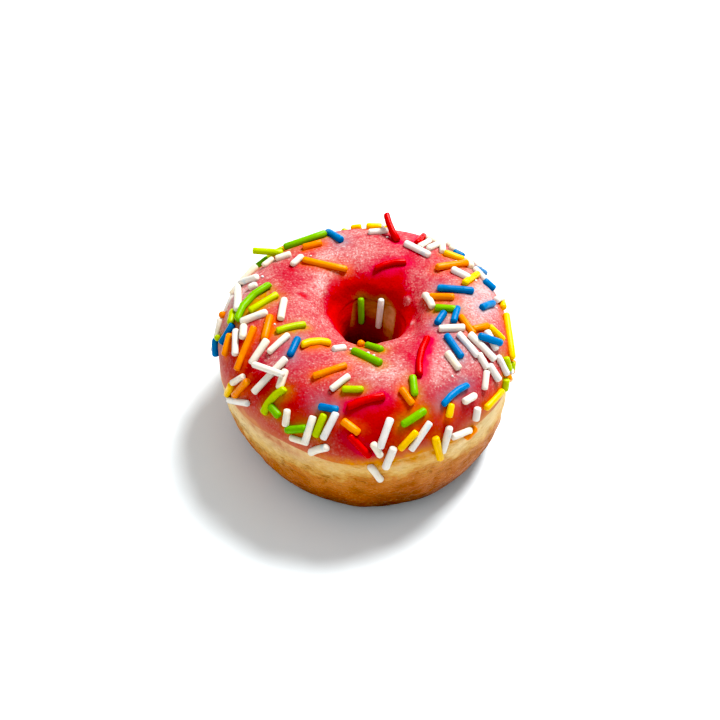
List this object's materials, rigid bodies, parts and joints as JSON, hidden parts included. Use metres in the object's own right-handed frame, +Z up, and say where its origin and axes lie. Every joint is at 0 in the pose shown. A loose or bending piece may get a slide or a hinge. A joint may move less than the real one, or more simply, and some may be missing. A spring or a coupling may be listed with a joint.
{
  "type": "sprinkle frosted doughnut",
  "caption": "Raised ring doughnut with a thin coat of pink-red icing on its upper half, made to be strewn with sugar sprinkles.",
  "frame": {"origin": "on the plane the doughnut stands on, under the centre of its bounding box", "axes": "+Z up through the hole, -Y towards the viewer, +X to the right as seen from the front"},
  "size_m": [0.0778, 0.083, 0.0404],
  "materials": {
    "dough": "soft fried dough, slightly oily",
    "icing": "thin sugar icing, part glossy and part grainy",
    "sprinkles": "smooth hard sugar, satin"
  },
  "bodies": {
    "root": {"dough_ring": "dough", "icing": "icing"}
  },
  "joints": []
}
